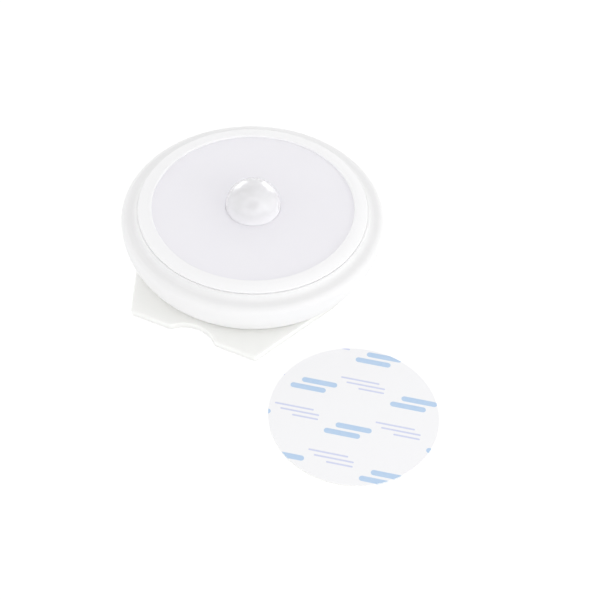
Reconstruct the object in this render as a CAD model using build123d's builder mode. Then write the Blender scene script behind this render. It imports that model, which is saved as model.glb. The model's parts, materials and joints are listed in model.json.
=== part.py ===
from build123d import *
from math import acos, atan2, cos, degrees, hypot, radians, sin
import os

# Motion sensor cabinet light, in millimetres.
# The origin is on the light's axis, in the plane of the mounting base's back face.
# +Z points out of the lit face, and the base's tab points along -Y.

os.makedirs("parts", exist_ok=True)

# One length that every cut may overrun its solid by
overrun = 1.0

# Clearances
turn_gap = 0.3  # between the mounting base and the light that turns on it
hook_gap = 0.3  # round the base's hooks in their slots
seat_gap = 0.2  # round a piece dropped into its seat
lens_gap = 0.05  # round the lens dome where it fits the diffuser's hole
cell_gap = 0.4  # round a battery cell
touch_gap = 0.05  # where a sprung contact presses
screw_gap = 0.05  # round a screw in its hole

# Mounting base with its gripping tab
base_step = 0.4
base_thickness = 2.0
base_edge = 0.4
tab_overhang = 6.4
tab_half_width = 21.9
tab_corner = 1.2
notch_radius = 10.0
notch_depth = 3.6
notch_lip = 2.5

# Bayonet hooks on the base
hook_count = 3
hook_first_angle = 90.0
hook_inset = 2.8
hook_neck = 1.2
hook_foot = 2.4
hook_foot_height = 0.9
hook_half_angle = 6.0
turn_angle = 20.0

# Battery cells side by side, every second one turned end for end
cell_names = ("cell_left", "cell_middle", "cell_right")
cell_count = len(cell_names)
cell_diameter = 10.5
cell_length = 44.5
cell_nub_diameter = 3.8
cell_nub_height = 1.0
cell_edge = 0.5
cradle_width = 5.0
cradle_depth = 2.4

# Housing
back_margin = 5.75
side_bulge = 5.1
back_wall = 1.2
shell_wall = 1.6
inner_wall = 1.2
floor_inset = 0.95
bulge_middle_share = 0.5
roll_radius = 2.0
shoulder_flat = 1.2
cove_radius = 1.9
neck_wall = 1.8
contact_room = 2.75
box_corner = 1.0
rib_count = 6
rib_thickness = 1.0
rib_height = 5.0
rib_first_angle = 0.0

# Board, its posts and its screws
board_thickness = 1.2
board_lift = 0.6
post_inset = 5.8
post_half_angle = 20.0
post_diameter = 5.0
screw_diameter = 2.0
screw_length = 5.5
screw_head_diameter = 3.8
screw_head_height = 1.2
cross_width = 0.5
cross_length = 2.0
cross_depth = 0.6

# Light chamber, diffuser and bezel
chamber_height = 1.7
reflector_foot = 2.2
reflector_top = 0.7
diffuser_thickness = 1.0
bezel_step = 0.4
bezel_width = 4.4
bezel_lip = 0.7
bezel_lip_chamfer = 0.3
bezel_crown = 1.0
bezel_edge = 0.5
bezel_side = 0.4
groove_width = 0.2
skirt_wall = 1.2
skirt_depth = 1.8
clip_count = 4
clip_first_angle = 45.0
clip_half_angle = 5.0
clip_barb = 0.8
clip_barb_height = 0.8
clip_nose = 0.4

# Lens dome and its seat
lens_wall = 0.8
lens_flange = 1.5
lens_flange_thickness = 1.0
lens_straight = 0.6
collar_wall = 0.8

# Motion sensor and daylight sensor
can_radius = 4.1
can_height = 2.6
can_flange = 0.5
can_flange_height = 0.5
can_edge = 0.4
window_width = 3.0
window_length = 4.0
window_thickness = 0.3
pin_diameter = 0.45
pin_length = 1.7
pin_ring_radius = 2.54
pin_angles = (90.0, 0.0, 180.0)
daylight_width = 1.25
daylight_length = 2.0
daylight_height = 0.9
daylight_lens = 0.45
daylight_gap = 0.575
daylight_taper = 20.0

# Light-emitting diodes
led_count = 10
led_inset = 12.8
led_width = 2.8
led_length = 3.5
led_height = 0.8
led_frame = 0.45
led_lens_depth = 0.2

# Components on the board's back
chip_width = 3.9
chip_length = 4.9
chip_height = 1.5
chip_leg_width = 0.45
chip_leg_reach = 1.0
chip_leg_pitch = 1.27
chip_leg_count = 4
capacitor_diameter = 5.0
capacitor_height = 6.0
capacitor_edge = 0.5
resistor_length = 2.0
resistor_width = 1.25
resistor_height = 0.5
resistor_pitch = 2.6
resistor_rows = 3
resistor_first = 13.5
transistor_length = 2.9
transistor_width = 1.3
transistor_height = 1.1
transistor_leg = 0.4
transistor_leg_reach = 0.6
transistor_leg_pitch = 0.95
transistor_y = -15.0
component_gap = 1.0

# Battery contacts
contact_sheet = 0.3
contact_width = 7.0
contact_height = 8.0
blade_width = 4.0
blade_rise = 3.0
tail_width = 2.0
tail_stand = 0.4
tail_gap = 0.2

# Slide switch in the rim
switch_width = 8.6
switch_height = 4.4
switch_depth = 3.4
switch_lift = 6.8
pocket_depth = 2.6
pocket_width = 13.0
pocket_height = 5.0
pocket_round = 1.2
switch_wall = 2.3
switch_block_width = 16.0
switch_travel = 2.0
knob_width = 3.0
knob_height = 2.6
knob_stand = 1.3
knob_groove_count = 2
knob_groove_width = 0.4
knob_groove_pitch = 0.9
knob_groove_depth = 0.4
knob_edge = 0.3
slot_gap = 0.3
terminal_width = 0.6
terminal_length = 1.2
terminal_pitch = 2.5
terminal_count = 3
lead_diameter = 1.0
lead_bend = 2.0
lead_run = 1.0

# Adhesive disc with its two liners, lying beside the light
pad_radius = 25.8
pad_thickness = 0.3
liner_thickness = 0.12
pad_gap = 7.5
pad_angle = -40.6


def polar(radius, angle):
    """A point at a radius and an angle in degrees round the light's axis."""
    return (radius * cos(radians(angle)), radius * sin(radians(angle)))


# Heights and radii that follow from the sizes above, starting from the box that holds the cells
box_width = cell_count * cell_diameter + (cell_count + 1) * cell_gap
box_length = cell_length + 2 * contact_room
box_reach = hypot(box_width / 2 + inner_wall, box_length / 2 + inner_wall)
back_radius = box_reach + back_margin
light_radius = back_radius + side_bulge
base_radius = back_radius - base_step
tab_reach = base_radius + tab_overhang
hook_outer = back_radius - hook_inset
back_z = base_thickness + turn_gap
cell_z = back_z + cell_gap + cell_diameter / 2
ceiling_z = cell_z + cell_diameter / 2 + cell_gap
box_top_z = ceiling_z + inner_wall
board_z = box_top_z + board_lift
board_top_z = board_z + board_thickness
diffuser_z = board_top_z + chamber_height
diffuser_top_z = diffuser_z + diffuser_thickness
rim_z = diffuser_top_z + bezel_lip
bezel_side_z = rim_z - bezel_crown
bezel_foot_z = bezel_side_z - bezel_side
neck_z = bezel_foot_z - groove_width
shoulder_z = neck_z - cove_radius
widest_z = shoulder_z - roll_radius
neck_radius = light_radius - roll_radius - shoulder_flat - cove_radius
opening_radius = neck_radius - neck_wall
bezel_radius = neck_radius - bezel_step
bezel_inner = bezel_radius - bezel_width
ledge_z = shoulder_z - shell_wall
skirt_outer = opening_radius - seat_gap
skirt_inner = skirt_outer - skirt_wall
disc_radius = skirt_inner - seat_gap
board_radius = disc_radius - seat_gap
post_ring_radius = board_radius - post_inset
led_ring_radius = board_radius - led_inset
hook_neck_inner = hook_outer - hook_neck
hook_foot_inner = hook_outer - hook_foot
hook_foot_z = back_z + back_wall + hook_gap
hook_top_z = hook_foot_z + hook_foot_height
cell_pitch = cell_diameter + cell_gap
tail_places = ((-cell_pitch, 1), (cell_pitch, -1))
collar_inner = can_radius + can_flange + daylight_width + 2 * daylight_gap
collar_outer = collar_inner + collar_wall
lens_inner = collar_outer + seat_gap
lens_radius = lens_inner + lens_wall
lens_flange_radius = lens_radius + lens_flange
lens_seat_z = diffuser_z - lens_flange_thickness
lens_centre_z = diffuser_top_z + lens_straight
daylight_place = (can_radius + can_flange + collar_inner) / 2
component_side = box_width / 2 + inner_wall + component_gap
component_middle = (box_width / 2 + inner_wall + board_radius) / 2
resistor_column = component_side + resistor_length / 2
transistor_x = component_side + transistor_length / 2
switch_face = light_radius - pocket_depth
switch_z = back_z + switch_lift
pad_place = polar(light_radius + pad_gap + pad_radius, pad_angle)
post_angles = (post_half_angle, -post_half_angle, 180 - post_half_angle, 180 + post_half_angle)


def ring_sector(inner, outer, start, end):
    """The flat face between two radii and two angles round the light's axis."""
    with BuildSketch(mode=Mode.PRIVATE) as sector:
        with BuildLine():
            far = CenterArc((0, 0), outer, start, end - start)
            near = CenterArc((0, 0), inner, start, end - start)
            Line(far @ 0, near @ 0)
            Line(far @ 1, near @ 1)
        make_face()
    return sector.sketch


def hook_angles():
    """The middle of each bayonet hook, in degrees."""
    return [hook_first_angle + index * 360 / hook_count for index in range(hook_count)]


def contact_slot(x, end):
    """Centre of the slot that a contact's tail stands in, at one end of the battery box."""
    return (x, end * (box_length / 2 - contact_sheet / 2))


# Mounting base: a disc with a flared tab whose sides run on as tangents to the disc
corner_distance = hypot(tab_half_width, tab_reach)
tangent_angle = degrees(atan2(-tab_reach, tab_half_width) + acos(base_radius / corner_distance))
tangent_point = polar(base_radius, tangent_angle)
notch_centre_y = -(tab_reach - notch_depth + notch_radius)

with BuildPart() as mounting_base:
    with BuildSketch() as base_outline:
        Circle(base_radius)
        with BuildLine():
            Polyline(
                tangent_point,
                (tab_half_width, -tab_reach),
                (-tab_half_width, -tab_reach),
                (-tangent_point[0], tangent_point[1]),
                close=True,
            )
        make_face()
        with Locations((0, notch_centre_y)):
            Circle(notch_radius, mode=Mode.SUBTRACT)
        tab_points = base_outline.vertices().group_by(Axis.Y)[0].sort_by(Axis.X)
        fillet([tab_points[0], tab_points[-1]], radius=tab_corner)
        lip_points = base_outline.vertices().group_by(Axis.Y)[0].sort_by(Axis.X)[1:-1]
        fillet(lip_points, radius=notch_lip)
    extrude(amount=base_thickness)
    fillet(mounting_base.faces().sort_by(Axis.Z)[-1].edges(), radius=base_edge)
    for angle in hook_angles():
        with BuildSketch(Plane.XY.offset(base_thickness)):
            add(ring_sector(hook_neck_inner, hook_outer, angle - hook_half_angle, angle + hook_half_angle))
        extrude(amount=hook_top_z - base_thickness)
        with BuildSketch(Plane.XY.offset(hook_foot_z)):
            add(ring_sector(hook_foot_inner, hook_outer, angle - hook_half_angle, angle + hook_half_angle))
        extrude(amount=hook_foot_height)

mounting_base.part.label = "mounting_base"
export_step(mounting_base.part, "parts/mounting_base.step")

# Flat wall behind the switch, cut to the housing's own outline
switch_back = switch_face - switch_wall
slot_half = knob_width / 2 + switch_travel + slot_gap

with BuildPart() as switch_wall_block:
    with BuildSketch(Plane.XZ):
        with BuildLine():
            TangentArc((light_radius, widest_z), (back_radius, back_z), tangent=(0, -1))
            Polyline(
                (back_radius, back_z),
                (0, back_z),
                (0, ledge_z),
                (light_radius, ledge_z),
                (light_radius, widest_z),
            )
        make_face()
    revolve(axis=Axis.Z)
    with BuildSketch(Plane.XY.offset(back_z)):
        with Locations((0, switch_back)):
            Rectangle(switch_block_width, switch_wall, align=(Align.CENTER, Align.MIN))
    extrude(amount=ledge_z - back_z, mode=Mode.INTERSECT)

# Rear housing: one moulded shell with the battery box, board posts, ribs and switch wall inside
with BuildPart() as rear_housing:
    with BuildSketch(Plane.XZ):
        with BuildLine():
            Line((0, back_z), (back_radius, back_z))
            bulge = TangentArc((light_radius, widest_z), (back_radius, back_z), tangent=(0, -1))
            TangentArc(
                (light_radius, widest_z), (light_radius - roll_radius, shoulder_z), tangent=(0, 1)
            )
            Line((light_radius - roll_radius, shoulder_z), (neck_radius + cove_radius, shoulder_z))
            TangentArc((neck_radius + cove_radius, shoulder_z), (neck_radius, neck_z), tangent=(-1, 0))
            Polyline(
                (neck_radius, neck_z),
                (opening_radius, neck_z),
                (opening_radius, ledge_z),
                (light_radius - roll_radius, ledge_z),
            )
            Polyline(
                (light_radius - roll_radius, ledge_z),
                (light_radius - shell_wall, widest_z),
                bulge @ bulge_middle_share - Vector(shell_wall, 0),
                (back_radius - floor_inset, back_z + back_wall),
                (0, back_z + back_wall),
                (0, back_z),
            )
        make_face()
    revolve(axis=Axis.Z)

    # Ribs run from the battery box out to the shell
    rib_region = back_radius - floor_inset
    with BuildSketch(Plane.XY.offset(back_z)):
        with PolarLocations(0, rib_count, rib_first_angle):
            Rectangle(rib_region, rib_thickness, align=(Align.MIN, Align.CENTER))
    extrude(amount=back_wall + rib_height)

    # Battery box, open at the back
    with BuildSketch(Plane.XY.offset(back_z)) as box_outline:
        Rectangle(box_width + 2 * inner_wall, box_length + 2 * inner_wall)
        fillet(box_outline.vertices(), radius=box_corner)
    extrude(amount=box_top_z - back_z)

    # Posts for the board's screws
    with BuildSketch(Plane.XY.offset(back_z)):
        for angle in post_angles:
            with Locations(polar(post_ring_radius, angle)):
                Circle(post_diameter / 2)
    extrude(amount=board_z - back_z)

    add(switch_wall_block.part)

    # Cuts
    with BuildSketch(Plane.XY.offset(back_z - overrun)):
        Rectangle(box_width, box_length)
    extrude(amount=ceiling_z - back_z + overrun, mode=Mode.SUBTRACT)
    with BuildSketch(Plane.XY.offset(ceiling_z - overrun)):
        for x, end in tail_places:
            with Locations(contact_slot(x, end)):
                Rectangle(tail_width + 2 * tail_gap, contact_sheet + 2 * tail_gap)
    extrude(amount=inner_wall + 2 * overrun, mode=Mode.SUBTRACT)

    # Cradles: each fills the corner between two cells and the box's ceiling
    with BuildSketch(Plane.XZ.offset(-cell_length / 2)):
        with Locations((0, ceiling_z)):
            with GridLocations(cell_pitch, 0, cell_count - 1, 1):
                Rectangle(cradle_width, cradle_depth, align=(Align.CENTER, Align.MAX))
        with Locations((0, cell_z)):
            with GridLocations(cell_pitch, 0, cell_count, 1):
                Circle(cell_diameter / 2 + cell_gap, mode=Mode.SUBTRACT)
    extrude(amount=cell_length)

    # Slots for the base's hooks, screw holes and the switch's pocket
    for angle in hook_angles():
        reach = hook_half_angle + degrees(hook_gap / hook_outer)
        with BuildSketch(Plane.XY.offset(back_z - overrun)):
            add(
                ring_sector(
                    hook_neck_inner - hook_gap,
                    hook_outer + hook_gap,
                    angle - turn_angle - reach,
                    angle + reach,
                )
            )
            add(
                ring_sector(
                    hook_foot_inner - hook_gap,
                    hook_outer + hook_gap,
                    angle - turn_angle - reach,
                    angle - turn_angle + reach,
                )
            )
        extrude(amount=back_wall + overrun, mode=Mode.SUBTRACT)
    for angle in post_angles:
        with Locations(Plane.XY.offset(board_z)):
            with Locations(polar(post_ring_radius, angle)):
                Hole(screw_diameter / 2 + screw_gap, depth=screw_length)
    with BuildSketch(Plane.XZ.offset(-switch_face)) as pocket:
        with Locations((0, switch_z)):
            Rectangle(pocket_width, pocket_height)
        fillet(pocket.vertices(), radius=pocket_round)
    extrude(amount=-(light_radius - switch_face + overrun), mode=Mode.SUBTRACT)
    with BuildSketch(Plane.XZ.offset(-switch_back + overrun)):
        with Locations((0, switch_z)):
            Rectangle(2 * slot_half, knob_height + 2 * slot_gap)
    extrude(amount=-(switch_wall + 2 * overrun), mode=Mode.SUBTRACT)

rear_housing.part.label = "rear_housing"
export_step(rear_housing.part, "parts/rear_housing.step")

# Bezel ring: its face is crowned and falls outwards, its skirt stands in the housing,
# and its four clips hook under the housing's neck
with BuildPart() as bezel_ring:
    with BuildSketch(Plane.XZ) as bezel_section:
        with BuildLine():
            Polyline(
                (bezel_inner + bezel_lip_chamfer, rim_z),
                (bezel_inner, rim_z - bezel_lip_chamfer),
                (bezel_inner, diffuser_top_z),
                (skirt_inner, diffuser_top_z),
                (skirt_inner, bezel_foot_z - skirt_depth),
                (skirt_outer, bezel_foot_z - skirt_depth),
                (skirt_outer, bezel_foot_z),
                (bezel_radius, bezel_foot_z),
                (bezel_radius, bezel_side_z),
            )
            TangentArc(
                (bezel_inner + bezel_lip_chamfer, rim_z), (bezel_radius, bezel_side_z), tangent=(1, 0)
            )
        make_face()
        outer_points = bezel_section.vertices().group_by(Axis.X)[-1]
        fillet(outer_points.sort_by(Axis.Y)[-1], radius=bezel_edge)
    revolve(axis=Axis.Z)
    barb_z = ledge_z - clip_nose / 2
    with BuildSketch(Plane.XZ) as clip_section:
        Polygon(
            (skirt_inner, bezel_foot_z - skirt_depth),
            (skirt_inner, barb_z - clip_barb_height - clip_nose),
            (skirt_outer - clip_nose, barb_z - clip_barb_height - clip_nose),
            (skirt_outer + clip_barb, barb_z - clip_barb_height / 2),
            (skirt_outer + clip_barb, barb_z),
            (skirt_outer, barb_z),
            (skirt_outer, bezel_foot_z - skirt_depth),
            align=None,
        )
    for index in range(clip_count):
        middle = clip_first_angle + index * 360 / clip_count
        revolve(
            clip_section.sketch.rotate(Axis.Z, middle - clip_half_angle),
            axis=Axis.Z,
            revolution_arc=2 * clip_half_angle,
        )

bezel_ring.part.label = "bezel_ring"
export_step(bezel_ring.part, "parts/bezel_ring.step")

# Frosted diffuser, a disc with a hole for the lens dome
with BuildPart() as diffuser:
    with BuildSketch(Plane.XY.offset(diffuser_z)):
        Circle(disc_radius)
        Circle(lens_radius + lens_gap, mode=Mode.SUBTRACT)
    extrude(amount=diffuser_thickness)

diffuser.part.label = "diffuser"
export_step(diffuser.part, "parts/diffuser.step")

# Reflector ring, standing on the board and carrying the diffuser's edge
with BuildPart() as reflector_ring:
    with BuildSketch(Plane.XZ):
        with BuildLine():
            Polyline(
                (disc_radius, board_top_z),
                (disc_radius, diffuser_z),
                (disc_radius - reflector_top, diffuser_z),
                (disc_radius - reflector_foot, board_top_z),
                close=True,
            )
        make_face()
    revolve(axis=Axis.Z)

reflector_ring.part.label = "reflector_ring"
export_step(reflector_ring.part, "parts/reflector_ring.step")

# Lens dome over the motion sensor, with its flange under the diffuser
with BuildPart() as lens_dome:
    with BuildSketch(Plane.XZ):
        with BuildLine():
            Polyline(
                (lens_inner, lens_centre_z),
                (lens_inner, lens_seat_z),
                (lens_flange_radius, lens_seat_z),
                (lens_flange_radius, diffuser_z),
                (lens_radius, diffuser_z),
                (lens_radius, lens_centre_z),
            )
            TangentArc((lens_radius, lens_centre_z), (0, lens_centre_z + lens_radius), tangent=(0, 1))
            Line((0, lens_centre_z + lens_radius), (0, lens_centre_z + lens_inner))
            TangentArc((lens_inner, lens_centre_z), (0, lens_centre_z + lens_inner), tangent=(0, 1))
        make_face()
    revolve(axis=Axis.Z)

lens_dome.part.label = "lens_dome"
export_step(lens_dome.part, "parts/lens_dome.step")

# Seat ring that lifts the lens off the board, with a collar inside the dome
# that keeps the diodes' light from the sensor
with BuildPart() as lens_seat:
    with BuildSketch(Plane.XY.offset(board_top_z)):
        Circle(lens_flange_radius)
        Circle(collar_inner, mode=Mode.SUBTRACT)
    extrude(amount=lens_seat_z - board_top_z)
    with BuildSketch(Plane.XY.offset(board_top_z)):
        Circle(collar_outer)
        Circle(collar_inner, mode=Mode.SUBTRACT)
    extrude(amount=diffuser_top_z - board_top_z)

lens_seat.part.label = "lens_seat"
export_step(lens_seat.part, "parts/lens_seat.step")

# Motion sensor can, its window and its pins
can_top_z = board_top_z + can_flange_height + can_height

with BuildPart() as motion_sensor:
    with BuildSketch(Plane.XY.offset(board_top_z)):
        Circle(can_radius + can_flange)
    extrude(amount=can_flange_height)
    with BuildSketch(Plane.XY.offset(board_top_z)):
        Circle(can_radius)
    extrude(amount=can_flange_height + can_height)
    fillet(motion_sensor.faces().sort_by(Axis.Z)[-1].edges(), radius=can_edge)
    with BuildSketch(Plane.XY.offset(can_top_z - window_thickness)):
        Rectangle(window_width, window_length)
    extrude(amount=window_thickness, mode=Mode.SUBTRACT)

motion_sensor.part.label = "motion_sensor"
export_step(motion_sensor.part, "parts/motion_sensor.step")

with BuildPart() as sensor_window:
    with BuildSketch(Plane.XY.offset(can_top_z - window_thickness)):
        Rectangle(window_width, window_length)
    extrude(amount=window_thickness)

sensor_window.part.label = "sensor_window"
export_step(sensor_window.part, "parts/sensor_window.step")

with BuildPart() as sensor_pins:
    with BuildSketch(Plane.XY.offset(board_top_z)):
        for angle in pin_angles:
            with Locations(polar(pin_ring_radius, angle)):
                Circle(pin_diameter / 2)
    extrude(amount=-pin_length)

sensor_pins.part.label = "sensor_pins"
export_step(sensor_pins.part, "parts/sensor_pins.step")

# Daylight sensor beside the can, under the lens dome
with BuildPart() as daylight_sensor:
    with BuildSketch(Plane.XY.offset(board_top_z)):
        with Locations((daylight_place, 0)):
            Rectangle(daylight_width, daylight_length)
    extrude(amount=daylight_height - daylight_lens)
    with BuildSketch(Plane.XY.offset(board_top_z + daylight_height - daylight_lens)):
        with Locations((daylight_place, 0)):
            Circle(daylight_width / 2 - touch_gap)
    extrude(amount=daylight_lens, taper=daylight_taper)

daylight_sensor.part.label = "daylight_sensor"
export_step(daylight_sensor.part, "parts/daylight_sensor.step")

# Round board, drilled for its screws, the sensor's pins and the contacts' tails
with BuildPart() as led_board:
    with BuildSketch(Plane.XY.offset(board_z)):
        Circle(board_radius)
        for angle in post_angles:
            with Locations(polar(post_ring_radius, angle)):
                Circle(screw_diameter / 2 + seat_gap, mode=Mode.SUBTRACT)
        for angle in pin_angles:
            with Locations(polar(pin_ring_radius, angle)):
                Circle(pin_diameter / 2 + touch_gap, mode=Mode.SUBTRACT)
        for x, end in tail_places:
            with Locations(contact_slot(x, end)):
                Rectangle(
                    tail_width + 2 * tail_gap, contact_sheet + 2 * tail_gap, mode=Mode.SUBTRACT
                )
    extrude(amount=board_thickness)

led_board.part.label = "led_board"
export_step(led_board.part, "parts/led_board.step")

# Light-emitting diodes in a ring
with BuildPart() as leds:
    with BuildSketch(Plane.XY.offset(board_top_z)):
        with PolarLocations(led_ring_radius, led_count, 360 / led_count / 2):
            Rectangle(led_width, led_length)
    extrude(amount=led_height)
    with BuildSketch(Plane.XY.offset(board_top_z + led_height)):
        with PolarLocations(led_ring_radius, led_count, 360 / led_count / 2):
            Rectangle(led_width - 2 * led_frame, led_length - 2 * led_frame)
    extrude(amount=-led_lens_depth, mode=Mode.SUBTRACT)

leds.part.label = "leds"
export_step(leds.part, "parts/leds.step")

# Screws that hold the board on its posts
with BuildPart() as board_screws:
    for angle in post_angles:
        with BuildSketch(Plane.XY.offset(board_top_z)):
            with Locations(polar(post_ring_radius, angle)):
                Circle(screw_diameter / 2)
        extrude(amount=-screw_length)
        with BuildSketch(Plane.XY.offset(board_top_z)):
            with Locations(polar(post_ring_radius, angle)):
                Circle(screw_head_diameter / 2)
        extrude(amount=screw_head_height)
    with BuildSketch(Plane.XY.offset(board_top_z + screw_head_height)):
        for angle in post_angles:
            with Locations(polar(post_ring_radius, angle)):
                Rectangle(cross_length, cross_width)
                Rectangle(cross_width, cross_length)
    extrude(amount=-cross_depth, mode=Mode.SUBTRACT)

board_screws.part.label = "board_screws"
export_step(board_screws.part, "parts/board_screws.step")

# Control chip under the board, with its legs
with BuildPart() as control_chip:
    with BuildSketch(Plane.XY.offset(board_z - touch_gap)):
        with Locations((-component_middle, 0)):
            Rectangle(chip_width, chip_length)
    extrude(amount=-chip_height)
    with BuildSketch(Plane.XY.offset(board_z)):
        with Locations((-component_middle, 0)):
            with GridLocations(0, chip_leg_pitch, 1, chip_leg_count):
                Rectangle(chip_width + 2 * chip_leg_reach, chip_leg_width)
    extrude(amount=-chip_height / 2)

control_chip.part.label = "control_chip"
export_step(control_chip.part, "parts/control_chip.step")

# Smoothing capacitor under the board
with BuildPart() as capacitor:
    with BuildSketch(Plane.XY.offset(board_z)):
        with Locations((component_middle, 0)):
            Circle(capacitor_diameter / 2)
    extrude(amount=-capacitor_height)
    chamfer(capacitor.edges().filter_by(GeomType.CIRCLE), length=capacitor_edge)

capacitor.part.label = "capacitor"
export_step(capacitor.part, "parts/capacitor.step")

# Chip resistors in two short columns under the board
with BuildPart() as chip_resistors:
    with BuildSketch(Plane.XY.offset(board_z)):
        for side in (-1, 1):
            for row in range(resistor_rows):
                with Locations((side * resistor_column, resistor_first + row * resistor_pitch)):
                    Rectangle(resistor_length, resistor_width)
    extrude(amount=-resistor_height)

chip_resistors.part.label = "chip_resistors"
export_step(chip_resistors.part, "parts/chip_resistors.step")

# Transistor that switches the diodes
with BuildPart() as driver_transistor:
    with BuildSketch(Plane.XY.offset(board_z)):
        with Locations((transistor_x, transistor_y)):
            Rectangle(transistor_length, transistor_width)
            with Locations((-transistor_leg_pitch, 0), (transistor_leg_pitch, 0)):
                Rectangle(
                    transistor_leg,
                    transistor_width / 2 + transistor_leg_reach,
                    align=(Align.CENTER, Align.MIN),
                )
            Rectangle(
                transistor_leg,
                transistor_width / 2 + transistor_leg_reach,
                align=(Align.CENTER, Align.MAX),
            )
    extrude(amount=-transistor_height)

driver_transistor.part.label = "driver_transistor"
export_step(driver_transistor.part, "parts/driver_transistor.step")


def make_cell(x, end):
    """A battery cell along Y, with its positive nub towards one end."""
    bottom = Plane(origin=(x, -end * cell_length / 2, cell_z), x_dir=(1, 0, 0), z_dir=(0, end, 0))
    with BuildPart() as cell:
        with BuildSketch(bottom):
            Circle(cell_diameter / 2)
        extrude(amount=cell_length - cell_nub_height)
        chamfer(cell.edges().filter_by(GeomType.CIRCLE), length=cell_edge)
        with BuildSketch(bottom.offset(cell_length - cell_nub_height)):
            Circle(cell_nub_diameter / 2)
        extrude(amount=cell_nub_height)
    return cell.part


# Battery cells
for index, name in enumerate(cell_names):
    cell_part = make_cell((index - (cell_count - 1) / 2) * cell_pitch, 1 if index % 2 == 0 else -1)
    cell_part.label = name
    export_step(cell_part, f"parts/{name}.step")


def make_contact(first_x, last_x, end, tail_x=None):
    """A sheet contact on the box's end wall, with one sprung blade for each cell that it meets."""
    wall_y = end * box_length / 2
    face_y = wall_y - end * contact_sheet
    tip_y = end * (cell_length / 2 + touch_gap)
    with BuildPart() as contact:
        with BuildSketch(Plane.YZ.offset(first_x - contact_width / 2)):
            with Locations(((wall_y + face_y) / 2, cell_z)):
                Rectangle(contact_sheet, contact_height)
        extrude(amount=last_x - first_x + contact_width)
        for x in sorted({first_x, last_x}):
            with BuildSketch(Plane.YZ.offset(x - blade_width / 2)):
                with BuildLine():
                    outer = ThreePointArc(
                        (face_y, cell_z - blade_rise), (tip_y, cell_z), (face_y, cell_z + blade_rise)
                    )
                    inner = ThreePointArc(
                        (face_y, cell_z - blade_rise + contact_sheet),
                        (tip_y + end * contact_sheet, cell_z),
                        (face_y, cell_z + blade_rise - contact_sheet),
                    )
                    Line(outer @ 0, inner @ 0)
                    Line(outer @ 1, inner @ 1)
                make_face()
            extrude(amount=blade_width)
        if tail_x is not None:
            with BuildSketch(Plane.XY.offset(cell_z)):
                with Locations(contact_slot(tail_x, end)):
                    Rectangle(tail_width, contact_sheet)
            extrude(amount=board_top_z + tail_stand - cell_z)
    return contact.part


# Contacts: the two poles have tails up to the board, the two links join neighbouring cells
contacts = (
    ("positive_contact", -cell_pitch, -cell_pitch, 1, -cell_pitch),
    ("negative_contact", cell_pitch, cell_pitch, -1, cell_pitch),
    ("front_link_contact", -cell_pitch, 0, -1, None),
    ("rear_link_contact", 0, cell_pitch, 1, None),
)
for name, first_x, last_x, end, tail_x in contacts:
    contact_part = make_contact(first_x, last_x, end, tail_x)
    contact_part.label = name
    export_step(contact_part, f"parts/{name}.step")

# Slide switch: its body stands against the flat wall
switch_front = switch_back - touch_gap
switch_rear = switch_front - switch_depth
knob_tip = switch_face + knob_stand

with BuildPart() as switch_body:
    with BuildSketch(Plane.XZ.offset(-switch_front)):
        with Locations((0, switch_z)):
            Rectangle(switch_width, switch_height)
    extrude(amount=switch_depth)

switch_body.part.label = "switch_body"
export_step(switch_body.part, "parts/switch_body.step")

# Slide switch: the knob that a finger moves, with grip grooves across its tip
with BuildPart() as switch_knob:
    with BuildSketch(Plane.XZ.offset(-switch_front - touch_gap)):
        with Locations((0, switch_z)):
            Rectangle(knob_width, knob_height)
    extrude(amount=-(knob_tip - switch_front - touch_gap))
    chamfer(switch_knob.faces().sort_by(Axis.Y)[-1].edges(), length=knob_edge)
    with BuildSketch(Plane.XZ.offset(-knob_tip)):
        with Locations((0, switch_z)):
            with GridLocations(knob_groove_pitch, 0, knob_groove_count, 1):
                Rectangle(knob_groove_width, knob_height)
    extrude(amount=knob_groove_depth, mode=Mode.SUBTRACT)

switch_knob.part.label = "switch_knob"
export_step(switch_knob.part, "parts/switch_knob.step")

# Slide switch: its terminals
with BuildPart() as switch_terminals:
    with BuildSketch(Plane.XZ.offset(-switch_rear)):
        with Locations((0, switch_z)):
            with GridLocations(terminal_pitch, 0, terminal_count, 1):
                Rectangle(terminal_width, terminal_width)
    extrude(amount=terminal_length)

switch_terminals.part.label = "switch_terminals"
export_step(switch_terminals.part, "parts/switch_terminals.step")

# Leads from the switch's terminals up to the board
lead_start_y = switch_rear - terminal_length
lead_end_y = lead_start_y - lead_run - lead_bend

with BuildPart() as switch_leads:
    for index in range(terminal_count):
        x = (index - (terminal_count - 1) / 2) * terminal_pitch
        with BuildLine() as lead_path:
            FilletPolyline(
                (x, lead_start_y, switch_z),
                (x, lead_end_y, switch_z),
                (x, lead_end_y, board_z),
                radius=lead_bend,
            )
        with BuildSketch(Plane(origin=(x, lead_start_y, switch_z), x_dir=(1, 0, 0), z_dir=(0, -1, 0))):
            Circle(lead_diameter / 2)
        sweep(path=lead_path.line)

switch_leads.part.label = "switch_leads"
export_step(switch_leads.part, "parts/switch_leads.step")


def make_disc(bottom, thickness):
    """One layer of the adhesive disc that lies beside the light."""
    with BuildPart() as layer:
        with BuildSketch(Plane.XY.offset(bottom)):
            with Locations(pad_place):
                Circle(pad_radius)
        extrude(amount=thickness)
    return layer.part


# Adhesive disc between its two release liners
layers = (
    ("liner_back", 0, liner_thickness),
    ("adhesive_disc", liner_thickness, pad_thickness),
    ("liner_front", liner_thickness + pad_thickness, liner_thickness),
)
for name, bottom, thickness in layers:
    layer_part = make_disc(bottom, thickness)
    layer_part.label = name
    export_step(layer_part, f"parts/{name}.step")
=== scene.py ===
import json
import math

import bmesh
import bpy
from mathutils import Matrix, Vector


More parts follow.
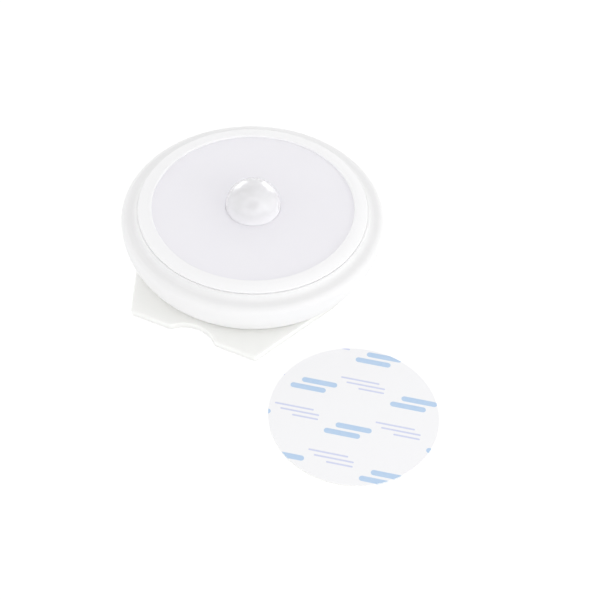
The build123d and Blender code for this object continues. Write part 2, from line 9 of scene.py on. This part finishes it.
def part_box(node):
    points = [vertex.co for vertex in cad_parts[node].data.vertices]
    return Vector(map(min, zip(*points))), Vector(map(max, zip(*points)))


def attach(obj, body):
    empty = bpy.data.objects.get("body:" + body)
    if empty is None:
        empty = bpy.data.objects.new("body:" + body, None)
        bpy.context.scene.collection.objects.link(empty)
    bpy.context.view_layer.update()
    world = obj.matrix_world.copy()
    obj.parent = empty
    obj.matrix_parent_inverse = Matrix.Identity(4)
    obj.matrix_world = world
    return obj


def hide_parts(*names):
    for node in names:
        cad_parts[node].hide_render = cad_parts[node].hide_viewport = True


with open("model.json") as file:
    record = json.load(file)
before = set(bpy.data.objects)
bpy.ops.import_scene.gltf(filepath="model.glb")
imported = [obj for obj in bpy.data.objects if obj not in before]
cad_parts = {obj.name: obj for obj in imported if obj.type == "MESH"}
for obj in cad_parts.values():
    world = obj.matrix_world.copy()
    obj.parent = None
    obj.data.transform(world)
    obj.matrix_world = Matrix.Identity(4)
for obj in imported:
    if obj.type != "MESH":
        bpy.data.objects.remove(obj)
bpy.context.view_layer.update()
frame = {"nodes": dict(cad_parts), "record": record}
nodes = frame["nodes"]
MM = 0.001
WHITE = (1.0, 1.0, 1.0)

# Camera, fitted to the photograph's ellipses: its place in millimetres, and its angles in degrees
CAMERA_PLACE = (146.8, -311.3, 364.6)
CAMERA_HEADING = 22.5
CAMERA_PITCH = 48.59
CAMERA_ROLL = 2.71
CAMERA_NEAR = 10.0
FOCAL_PIXELS = 1511.7
FRAME_PIXELS = 600
SENSOR_WIDTH = 36.0

# Strength of the surroundings as a light, at the horizon and overhead, which begins at this share of the
# way up
WORLD_HORIZON = 1.46
WORLD_ZENITH = 0.79
OVERHEAD_SHARE = 0.8

# Lamps at the right, with place and side in metres and power in watts, and the point that all lamps are
# aimed at
LAMP_AIM = (0.0, 0.0, 0.015)
LAMPS = (
    ("lamp_key", (0.50, -0.21, 0.25), 0.28, 0.17),
    ("lamp_right", (0.75, 0.0, 0.16), 0.4, 0.48),
)

# Lamps at the back that only the lens's gloss shows, as the two highlights on the dome
GLOSS_LAMPS = (
    ("lamp_back_left", (-0.65, 0.47, 0.14), 0.4, 1.9),
    ("lamp_back_right", (0.12, 0.79, 0.14), 0.4, 2.4),
)

# Floor, with half its side in metres and its drop in millimetres: pale as it lights the part, and to the eye
# dim with an even glow, which together show white and keep the shadow
FLOOR_HALF = 1.5
FLOOR_DROP = 0.05
FLOOR_CELLS = 3.0
FLOOR_PALE = (0.96, 0.96, 0.96)
FLOOR_SHADE = (0.94, 0.94, 0.94)
FLOOR_SEEN = (0.3, 0.3, 0.3)
FLOOR_GLOW = 0.78

# Noise: its usual detail and two others, and the range of it that a blend of two colours usually covers
DETAIL = 3.0
SOFT_DETAIL = 2.0
FINE_DETAIL = 4.0
BLEND_LOW = 0.3
BLEND_HIGH = 0.7

# Lens dome, in millimetres and degrees; each row of facets has its angle from the top, its count, and where
# it starts as a share of its step
LENS_WALL = 0.8
LENS_FLANGE = 1.5
LENS_FOOT = 1.0
LENS_ROWS = ((0, 1, 0.0), (27, 6, 0.5), (53, 11, 0.5), (78, 14, 0.0))
FACET_REACH = 15.0
FACET_DEPTH = 0.3
LENS_STEPS = 30
LENS_TURNS = 168
SHARP_ANGLE = 40

# Milkiness of the lens: its outer skin and the fade at the skin's inside, in millimetres, and the share of
# light that passes the skin unscattered, at the foot and from a little higher up
LENS_SKIN = 0.4
LENS_FADE = 0.2
LENS_RISE = 3.0
CLEAR_FOOT_SHARE = 0.15
CLEAR_ABOVE_SHARE = 0.28

# Tone and gloss of the lens
LENS_TONE = (0.988, 0.982, 1.0)
LENS_SHADE = (0.978, 0.972, 0.995)
LENS_TONE_CELLS = 120.0
LENS_GLOSS_CELLS = 500.0
LENS_ROUGH = 0.1
LENS_GLOSS_DRIFT = 0.08
LENS_IOR = 1.1
LENS_COAT_ROUGH = 0.25

# Moulded plastic: cells to the metre of its tone, gloss and grain, its depths in millimetres, and the even
# spread of its glow in red, green and blue
TONE_CELLS = 55.0
TONE_LOW = 0.35
TONE_HIGH = 0.65
GLOSS_CELLS = 260.0
GLOSS_DRIFT = 0.12
GRAIN_CELLS = 1800.0
GRAIN_DEPTH = 0.02
GRAIN_STRENGTH = 0.35
GLOW_REACH = 2.0
GLOW_SPREAD = (1.0, 1.0, 1.0)

# Painted light: the housing's plastic is paler inside the shell, up to this far outside the bezel and over
# this blend, in millimetres, which lightens the shade in the joint round the bezel
JOINT_LIGHT_REACH = 0.35
JOINT_LIGHT_BLEND = 0.15

# Plastics: main colour, a slightly darker shade, roughness, and what else differs from the usual look, such
# as the share of light that spreads inside
PLASTICS = {
    "base_plastic": {
        "colour": (0.98, 0.985, 0.952),
        "shade": (0.97, 0.975, 0.942),
        "rough": 0.42,
        "glow_share": 0.45,
    },
    "housing_plastic": {
        "colour": (0.9, 0.898, 0.902),
        "shade": (0.888, 0.886, 0.89),
        "rough": 0.45,
        "glow_share": 0.25,
        # painted light: a paler colour inside the joint round the bezel lightens its shade
        "painted_joint_light": (0.985, 0.985, 0.99),
    },
    "bezel_plastic": {
        "colour": (0.98, 0.978, 0.987),
        "shade": (0.97, 0.968, 0.977),
        "rough": 0.5,
        "glow_share": 0.15,
    },
    "diffuser_plastic": {
        "colour": (0.915, 0.902, 0.953),
        "shade": (0.907, 0.894, 0.945),
        "rough": 0.5,
        "glow_share": 0.3,
        "reach": 1.2,
        "grain": 2600.0,
    },
    "dark_window": {"colour": (0.16, 0.15, 0.17), "shade": (0.12, 0.11, 0.13), "rough": 0.2},
    "board": {"colour": (0.9, 0.9, 0.88), "shade": (0.87, 0.88, 0.85), "rough": 0.45},
    "led_body": {"colour": (0.93, 0.84, 0.45), "shade": (0.9, 0.8, 0.4), "rough": 0.35},
    "chip_black": {"colour": (0.05, 0.05, 0.05), "shade": (0.03, 0.03, 0.03), "rough": 0.5},
    "cell_sleeve": {"colour": (0.1, 0.3, 0.18), "shade": (0.08, 0.26, 0.15), "rough": 0.25},
    "switch_plastic": {"colour": (0.9, 0.9, 0.9), "shade": (0.87, 0.87, 0.87), "rough": 0.4},
    "lead_sleeve": {"colour": (0.5, 0.05, 0.05), "shade": (0.45, 0.04, 0.04), "rough": 0.45},
    "adhesive": {"colour": (0.92, 0.92, 0.88), "shade": (0.89, 0.89, 0.85), "rough": 0.5},
}

# Metals: colour, roughness and how metallic they are, with the marks that all of them have
METALS = {
    "sensor_can": {"colour": (0.93, 0.93, 0.92), "rough": 0.45, "metallic": 0.4},
    "plated_metal": {"colour": (0.78, 0.78, 0.76), "rough": 0.25, "metallic": 1.0},
}
MARK_CELLS = 900.0
MARK_DEPTH = 0.01
MARK_STRENGTH = 0.3
MARK_SHADE_SHARE = 0.86
MARK_GLOSS_DRIFT = 0.2

# Release paper, and the wear of the ink on it
LINER_WHITE = (0.95, 0.95, 0.965)
LINER_SHADE_SHARE = 0.985
LINER_CELLS = 400.0
LINER_LOW = 0.2
LINER_HIGH = 0.8
LINER_ROUGH = 0.41
LINER_GLOSS_CELLS = 300.0
LINER_GLOSS_DRIFT = 0.1
LINER_GRAIN_CELLS = 1400.0
LINER_GRAIN_DEPTH = 0.01
LINER_GRAIN_STRENGTH = 0.3
INK_WEAR_CELLS = 700.0
INK_WEAR_SHARE = 0.22

# Liner print, in millimetres and degrees: the tile and its rows, and each mark's colour, centre, size and
# corner
PRINT_BLUE = (0.45, 0.63, 0.86)
PRINT_LAVENDER = (0.62, 0.66, 0.88)
PRINT_ANGLE = -12.0
PRINT_PITCH = 31.0
PRINT_ROW = 14.5
PRINT_SHIFT = 13.5
INK_SOFTNESS = 0.06
BAR_SIZE = (11.0, 1.9)
BAR_CORNER = 0.94
RULE_SIZE = (12.0, 0.6)
SHORT_RULE_SIZE = (8.0, 0.6)
RULE_CORNER = 0.28
PRINT_MARKS = (
    (PRINT_BLUE, (7.5, 4.5), BAR_SIZE, BAR_CORNER),
    (PRINT_BLUE, (10.5, 7.3), BAR_SIZE, BAR_CORNER),
    (PRINT_LAVENDER, (22.5, 11.0), RULE_SIZE, RULE_CORNER),
    (PRINT_LAVENDER, (24.5, 9.4), RULE_SIZE, RULE_CORNER),
    (PRINT_LAVENDER, (26.5, 7.8), SHORT_RULE_SIZE, RULE_CORNER),
)


class NodeTree:
    """The node tree of a material or a world, with short calls for the nodes that it needs."""

    def __init__(self, owner, output="ShaderNodeOutputMaterial"):
        self.owner = owner
        owner.use_nodes = True
        self.tree = owner.node_tree
        self.tree.nodes.clear()
        self.output = self.add(output)

    def add(self, kind, **inputs):
        """A node of this kind, with its inputs set or linked by name."""
        node = self.tree.nodes.new(kind)
        for key, value in inputs.items():
            self.set(node, key.replace("_", " "), value)
        return node

    def set(self, node, key, value):
        """Sets one input of a node, a colour without its alpha, or links another node's output to it."""
        socket = node.inputs[int(key)] if key.isdigit() else node.inputs[key]
        if isinstance(value, bpy.types.NodeSocket):
            self.tree.links.new(value, socket)
        elif socket.type == "RGBA":
            socket.default_value = (*value, 1.0)
        else:
            socket.default_value = value

    def place(self):
        """Position in the row frame, in metres."""
        return self.add("ShaderNodeTexCoord").outputs["Object"]

    def noise(self, scale, detail=DETAIL):
        """Cloudy noise with this many cells to the metre."""
        return self.add("ShaderNodeTexNoise", Scale=scale, Detail=detail, Vector=self.place()).outputs["Fac"]

    def math(self, operation, first, second=0.0, third=0.0):
        """One sum on numbers."""
        node = self.tree.nodes.new("ShaderNodeMath")
        node.operation = operation
        self.set(node, "0", first)
        self.set(node, "1", second)
        self.set(node, "2", third)
        return node.outputs[0]

    def vector(self, operation, first, second=(0.0, 0.0, 0.0)):
        """One sum on vectors; a length or a distance comes out as a number."""
        node = self.tree.nodes.new("ShaderNodeVectorMath")
        node.operation = operation
        self.set(node, "0", first)
        self.set(node, "1", second)
        return node.outputs["Value" if operation in ("LENGTH", "DISTANCE") else "Vector"]

    def split(self, vector):
        """The three numbers of a vector, as outputs X, Y and Z."""
        return self.add("ShaderNodeSeparateXYZ", Vector=vector).outputs

    def between(self, value, low, high, first=0.0, last=1.0):
        """Number that runs from first to last as value goes from low to high."""
        node = self.add("ShaderNodeMapRange", Value=value)
        self.set(node, "From Min", low)
        self.set(node, "From Max", high)
        self.set(node, "To Min", first)
        self.set(node, "To Max", last)
        return node.outputs["Result"]

    def drift(self, noise, middle, width):
        """Number that drifts with a noise round its middle value."""
        return self.math("MULTIPLY_ADD", noise, width, middle - width / 2)

    def mix(self, factor, first, last):
        """Blend of two colours."""
        node = self.tree.nodes.new("ShaderNodeMix")
        node.data_type = "RGBA"
        self.set(node, "0", factor)
        self.set(node, "6", first)
        self.set(node, "7", last)
        return node.outputs[2]

    def ramp(self, factor, first, last, low=BLEND_LOW, high=BLEND_HIGH):
        """Colour that runs from first to last as factor goes from low to high."""
        return self.mix(self.between(factor, low, high), first, last)

    def bump(self, height, distance, strength):
        """Normal from a height, with the height's real size in millimetres."""
        node = self.add("ShaderNodeBump", Height=height, Distance=distance * MM, Strength=strength)
        return node.outputs["Normal"]

    def seen(self):
        """1 for what the eye sees, also mirrored or through the lens, and 0 for light on other things."""
        path = self.add("ShaderNodeLightPath").outputs
        straight = self.math("MAXIMUM", path["Is Camera Ray"], path["Is Glossy Ray"])
        return self.math("MAXIMUM", straight, path["Is Transmission Ray"])

    def finish(self, shader):
        """Links the shader and returns the material or world."""
        self.tree.links.new(shader.outputs[0], self.output.inputs["Surface"])
        return self.owner


def moulded(name, colour, shade, rough, grain=GRAIN_CELLS, glow_share=0.0, reach=GLOW_REACH, painted_joint_light=None):
    """Moulded plastic: slight drift of tone, a fine grain, uneven gloss, light that spreads inside, and
    where given a paler painted colour that lightens the joint's shade.
    """
    tree = NodeTree(bpy.data.materials.new(name))
    shader = tree.add("ShaderNodeBsdfPrincipled")
    tone = tree.ramp(tree.noise(TONE_CELLS), shade, colour, TONE_LOW, TONE_HIGH)
    if painted_joint_light:
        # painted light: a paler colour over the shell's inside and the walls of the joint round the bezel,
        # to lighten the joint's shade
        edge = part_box("bezel_ring")[1][0] + JOINT_LIGHT_REACH * MM
        around = tree.vector("LENGTH", tree.vector("MULTIPLY", tree.place(), (1.0, 1.0, 0.0)))
        tone = tree.mix(tree.between(around, edge - JOINT_LIGHT_BLEND * MM, edge), painted_joint_light, tone)
    tree.set(shader, "Base Color", tone)
    tree.set(shader, "Roughness", tree.drift(tree.noise(GLOSS_CELLS, FINE_DETAIL), rough, GLOSS_DRIFT))
    if glow_share:
        tree.set(shader, "Subsurface Weight", glow_share)
        tree.set(shader, "Subsurface Radius", GLOW_SPREAD)
        tree.set(shader, "Subsurface Scale", reach * MM)
    tree.set(shader, "Normal", tree.bump(tree.noise(grain, SOFT_DETAIL), GRAIN_DEPTH, GRAIN_STRENGTH))
    return tree.finish(shader)


def metal(name, colour, rough, metallic):
    """Plated or drawn metal with fine marks."""
    tree = NodeTree(bpy.data.materials.new(name))
    shader = tree.add("ShaderNodeBsdfPrincipled")
    marks = tree.noise(MARK_CELLS, FINE_DETAIL)
    tree.set(shader, "Metallic", metallic)
    tree.set(shader, "Base Color", tree.ramp(marks, [v * MARK_SHADE_SHARE for v in colour], colour))
    tree.set(shader, "Roughness", tree.drift(marks, rough, MARK_GLOSS_DRIFT))
    tree.set(shader, "Normal", tree.bump(marks, MARK_DEPTH, MARK_STRENGTH))
    return tree.finish(shader)


def lens_sphere():
    """Outer radius of the lens dome and the height of its middle, in metres."""
    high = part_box("lens_dome")[1]
    outer = high[0] - LENS_FLANGE * MM
    return outer, high[2] - outer


def lens_material():
    """Milky, glossy skin over a clear inside, through which the sensor shows as a soft dark spot."""
    outer, middle = lens_sphere()
    skin = outer - LENS_SKIN * MM
    tree = NodeTree(bpy.data.materials.new("lens_plastic"))
    shader = tree.add("ShaderNodeBsdfPrincipled")
    height = tree.split(tree.place())["Z"]
    away = tree.vector("DISTANCE", tree.place(), (0.0, 0.0, middle))
    clear = tree.between(height, middle, middle + LENS_RISE * MM, CLEAR_FOOT_SHARE, CLEAR_ABOVE_SHARE)
    tree.set(shader, "Base Color", tree.ramp(tree.noise(LENS_TONE_CELLS), LENS_SHADE, LENS_TONE))
    tree.set(shader, "Transmission Weight", tree.between(away, skin, skin + LENS_FADE * MM, 1.0, clear))
    tree.set(shader, "IOR", LENS_IOR)
    tree.set(shader, "Roughness", tree.drift(tree.noise(LENS_GLOSS_CELLS), LENS_ROUGH, LENS_GLOSS_DRIFT))
    tree.set(shader, "Coat Weight", 1.0)
    tree.set(shader, "Coat Roughness", LENS_COAT_ROUGH)
    return tree.finish(shader)


def bar_mask(tree, along, across, centre, size, corner):
    """1 inside a bar with round corners, 0 outside."""
    reach = []
    for value, middle, length in ((along, centre[0], size[0]), (across, centre[1], size[1])):
        away = tree.math("ABSOLUTE", tree.math("SUBTRACT", value, middle))
        reach.append(tree.math("MAXIMUM", tree.math("SUBTRACT", away, length / 2 - corner), 0.0))
    squares = tree.math("MULTIPLY_ADD", reach[0], reach[0], tree.math("MULTIPLY", reach[1], reach[1]))
    return tree.between(tree.math("SQRT", squares), corner + INK_SOFTNESS, corner - INK_SOFTNESS)


def liner_print(tree):
    """Colour of the paper with its print: tilted rows of bars and thin rules, each row shifted."""
    turned = tree.add("ShaderNodeMapping", Vector=tree.place())
    tree.set(turned, "Rotation", (0.0, 0.0, math.radians(PRINT_ANGLE)))
    tree.set(turned, "Scale", (1 / MM, 1 / MM, 1 / MM))
    spot = tree.split(turned.outputs[0])
    row = tree.math("DIVIDE", spot["Y"], PRINT_ROW)
    shift = tree.math("MULTIPLY", tree.math("FLOOR", row), PRINT_SHIFT)
    along = tree.math("FLOORED_MODULO", tree.math("ADD", spot["X"], shift), PRINT_PITCH)
    across = tree.math("MULTIPLY", tree.math("FRACT", row), PRINT_ROW)
    ink = LINER_WHITE
    for colour, centre, size, corner in PRINT_MARKS:
        ink = tree.mix(bar_mask(tree, along, across, centre, size, corner), ink, colour)
    return ink


def liner_material():
    """Release paper with a plain printed pattern, whose ink is a little thin in places."""
    tree = NodeTree(bpy.data.materials.new("liner_paper"))
    shade = [v * LINER_SHADE_SHARE for v in LINER_WHITE]
    paper = tree.ramp(tree.noise(LINER_CELLS, FINE_DETAIL), shade, LINER_WHITE, LINER_LOW, LINER_HIGH)
    wear = tree.math("MULTIPLY", tree.noise(INK_WEAR_CELLS), INK_WEAR_SHARE)
    gloss = tree.noise(LINER_GLOSS_CELLS, FINE_DETAIL)
    grain = tree.noise(LINER_GRAIN_CELLS)
    shader = tree.add("ShaderNodeBsdfPrincipled")
    tree.set(shader, "Base Color", tree.mix(wear, liner_print(tree), paper))
    tree.set(shader, "Roughness", tree.drift(gloss, LINER_ROUGH, LINER_GLOSS_DRIFT))
    tree.set(shader, "Normal", tree.bump(grain, LINER_GRAIN_DEPTH, LINER_GRAIN_STRENGTH))
    return tree.finish(shader)


def make_materials():
    """Every slot's material, by the slot's name."""
    made = {name: moulded(name, **look) for name, look in PLASTICS.items()}
    for name, look in METALS.items():
        made[name] = metal(name, **look)
    made["lens_plastic"] = lens_material()
    made["liner_paper"] = liner_material()
    return made


def dress_nodes(materials):
    """Gives every CAD node its slot's material."""
    for part in frame["record"]["subparts"]:
        mesh = nodes[part["node"]].data
        mesh.materials.clear()
        mesh.materials.append(materials[part["material_slot"]])


def add_camera():
    """The photograph's viewpoint."""
    data = bpy.data.cameras.new("camera")
    data.sensor_width = SENSOR_WIDTH
    data.lens = FOCAL_PIXELS * SENSOR_WIDTH / FRAME_PIXELS
    data.clip_start = CAMERA_NEAR * MM
    camera = bpy.data.objects.new("camera", data)
    bpy.context.scene.collection.objects.link(camera)
    turn = Matrix.Rotation(math.radians(CAMERA_HEADING), 4, "Z")
    tilt = Matrix.Rotation(math.radians(90 - CAMERA_PITCH), 4, "X")
    roll = Matrix.Rotation(math.radians(CAMERA_ROLL), 4, "Z")
    place = Matrix.Translation(Vector(CAMERA_PLACE) * MM)
    camera.matrix_world = place @ turn @ tilt @ roll
    bpy.context.scene.camera = camera


def direction(lean, turn):
    """Direction that leans from straight up by one angle and is turned round the axis by the other."""
    return Vector((math.sin(lean) * math.cos(turn), math.sin(lean) * math.sin(turn), math.cos(lean)))


def facet_centres():
    """Directions of the lens's facets on its inner face: rows of small lenses round the top one."""
    centres = []
    for degrees, count, start_share in LENS_ROWS:
        for index in range(count):
            centres.append(direction(math.radians(degrees), 2 * math.pi * (index + start_share) / count))
    return centres


def facet_radius(inner, centres, lean, turn):
    """Radius of the lens's inner face in one direction: a facet bulges in, most at its middle."""
    nearest = max(direction(lean, turn).dot(centre) for centre in centres)
    away = math.acos(min(1.0, nearest)) / math.radians(FACET_REACH)
    return inner - FACET_DEPTH * MM * max(0.0, 1.0 - away * away)


def lens_rings(inner, centres):
    """Rings of points on the lens: down its outside, round its flange, and up its faceted inside."""
    low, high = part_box("lens_dome")
    outer, middle = lens_sphere()
    foot_top = low[2] + LENS_FOOT * MM
    leans = [math.pi / 2 * step / LENS_STEPS for step in range(1, LENS_STEPS + 1)]
    turns = [2 * math.pi * step / LENS_TURNS for step in range(LENS_TURNS)]

    def point(radius, turn, height):
        """Point at a radius from the axis."""
        return (radius * math.cos(turn), radius * math.sin(turn), height)

    def inner_point(lean, turn):
        """Point of the inner face."""
        radius = facet_radius(inner, centres, lean, turn)
        return point(radius * math.sin(lean), turn, middle + radius * math.cos(lean))

    outline = [(outer * math.sin(lean), middle + outer * math.cos(lean)) for lean in leans]
    outline += [(outer, foot_top), (high[0], foot_top), (high[0], low[2])]
    rings = [[point(radius, turn, height) for turn in turns] for radius, height in outline]
    rings.append([point(facet_radius(inner, centres, leans[-1], turn), turn, low[2]) for turn in turns])
    rings += [[inner_point(lean, turn) for turn in turns] for lean in reversed(leans)]
    return rings


def add_lens(material):
    """The lens dome, smooth outside and with small facets moulded inside, in the CAD dome's own envelope."""
    outer, middle = lens_sphere()
    inner = outer - LENS_WALL * MM
    centres = facet_centres()
    mesh = bmesh.new()
    rings = [[mesh.verts.new(point) for point in ring] for ring in lens_rings(inner, centres)]
    top = mesh.verts.new((0, 0, middle + outer))
    ceiling = mesh.verts.new((0, 0, middle + facet_radius(inner, centres, 0.0, 0.0)))
    for index in range(LENS_TURNS):
        after = (index + 1) % LENS_TURNS
        mesh.faces.new((top, rings[0][index], rings[0][after]))
        mesh.faces.new((ceiling, rings[-1][after], rings[-1][index]))
        for upper, lower in zip(rings, rings[1:]):
            mesh.faces.new((upper[index], lower[index], lower[after], upper[after]))
    data = bpy.data.meshes.new("faceted_lens")
    mesh.to_mesh(data)
    mesh.free()
    data.shade_smooth()
    data.set_sharp_from_angle(angle=math.radians(SHARP_ANGLE))
    data.materials.append(material)
    piece = bpy.data.objects.new("faceted_lens", data)
    bpy.context.scene.collection.objects.link(piece)
    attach(piece, "light")
    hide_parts("lens_dome")
    return piece


def floor_material():
    """Pale to the part, and white with the part's shadow to the eye."""
    tree = NodeTree(bpy.data.materials.new("floor"))
    tone = tree.ramp(tree.noise(FLOOR_CELLS), FLOOR_SHADE, FLOOR_PALE)
    pale = tree.add("ShaderNodeBsdfDiffuse", Color=tone)
    dim = tree.add("ShaderNodeBsdfDiffuse", Color=FLOOR_SEEN)
    glow = tree.add("ShaderNodeEmission", Color=WHITE, Strength=FLOOR_GLOW)
    both = tree.add("ShaderNodeAddShader")
    tree.set(both, "0", dim.outputs[0])
    tree.set(both, "1", glow.outputs[0])
    shader = tree.add("ShaderNodeMixShader")
    tree.set(shader, "0", tree.seen())
    tree.set(shader, "1", pale.outputs[0])
    tree.set(shader, "2", both.outputs[0])
    return tree.finish(shader)


def add_floor():
    """The floor that the part lies on, a little under its lowest face."""
    mesh = bpy.data.meshes.new("floor")
    corners = [(-FLOOR_HALF, -FLOOR_HALF, 0), (FLOOR_HALF, -FLOOR_HALF, 0)]
    corners += [(FLOOR_HALF, FLOOR_HALF, 0), (-FLOOR_HALF, FLOOR_HALF, 0)]
    mesh.from_pydata(corners, [], [(0, 1, 2, 3)])
    mesh.materials.append(floor_material())
    floor = bpy.data.objects.new("floor", mesh)
    floor.location.z = -FLOOR_DROP * MM
    bpy.context.scene.collection.objects.link(floor)


def add_world():
    """White surroundings: to the eye and in reflections at full white, as a light dimmer overhead."""
    tree = NodeTree(bpy.data.worlds.new("world"), "ShaderNodeOutputWorld")
    height = tree.split(tree.add("ShaderNodeTexCoord").outputs["Generated"])["Z"]
    light = tree.between(height, 0.0, OVERHEAD_SHARE, WORLD_HORIZON, WORLD_ZENITH)
    strength = tree.between(tree.seen(), 0.0, 1.0, light, 1.0)
    bpy.context.scene.world = tree.finish(tree.add("ShaderNodeBackground", Color=WHITE, Strength=strength))


def add_lamp(name, place, side, power, gloss_of=None):
    """A soft square lamp aimed at the light; it can serve one object's gloss alone."""
    data = bpy.data.lights.new(name, "AREA")
    data.shape = "SQUARE"
    data.size = side
    data.energy = power
    lamp = bpy.data.objects.new(name, data)
    lamp.location = place
    lamp.rotation_euler = (Vector(LAMP_AIM) - Vector(place)).to_track_quat("-Z", "Y").to_euler()
    if gloss_of:
        lit = bpy.data.collections.new(name)
        lit.objects.link(gloss_of)
        lamp.light_linking.receiver_collection = lit
        lamp.visible_diffuse = False
    bpy.context.scene.collection.objects.link(lamp)


materials = make_materials()
add_camera()
dress_nodes(materials)
add_floor()
add_world()
lens = add_lens(materials["lens_plastic"])
for lamp in LAMPS:
    add_lamp(*lamp)
for lamp in GLOSS_LAMPS:
    add_lamp(*lamp, gloss_of=lens)

bpy.context.scene.view_settings.view_transform = "Standard"
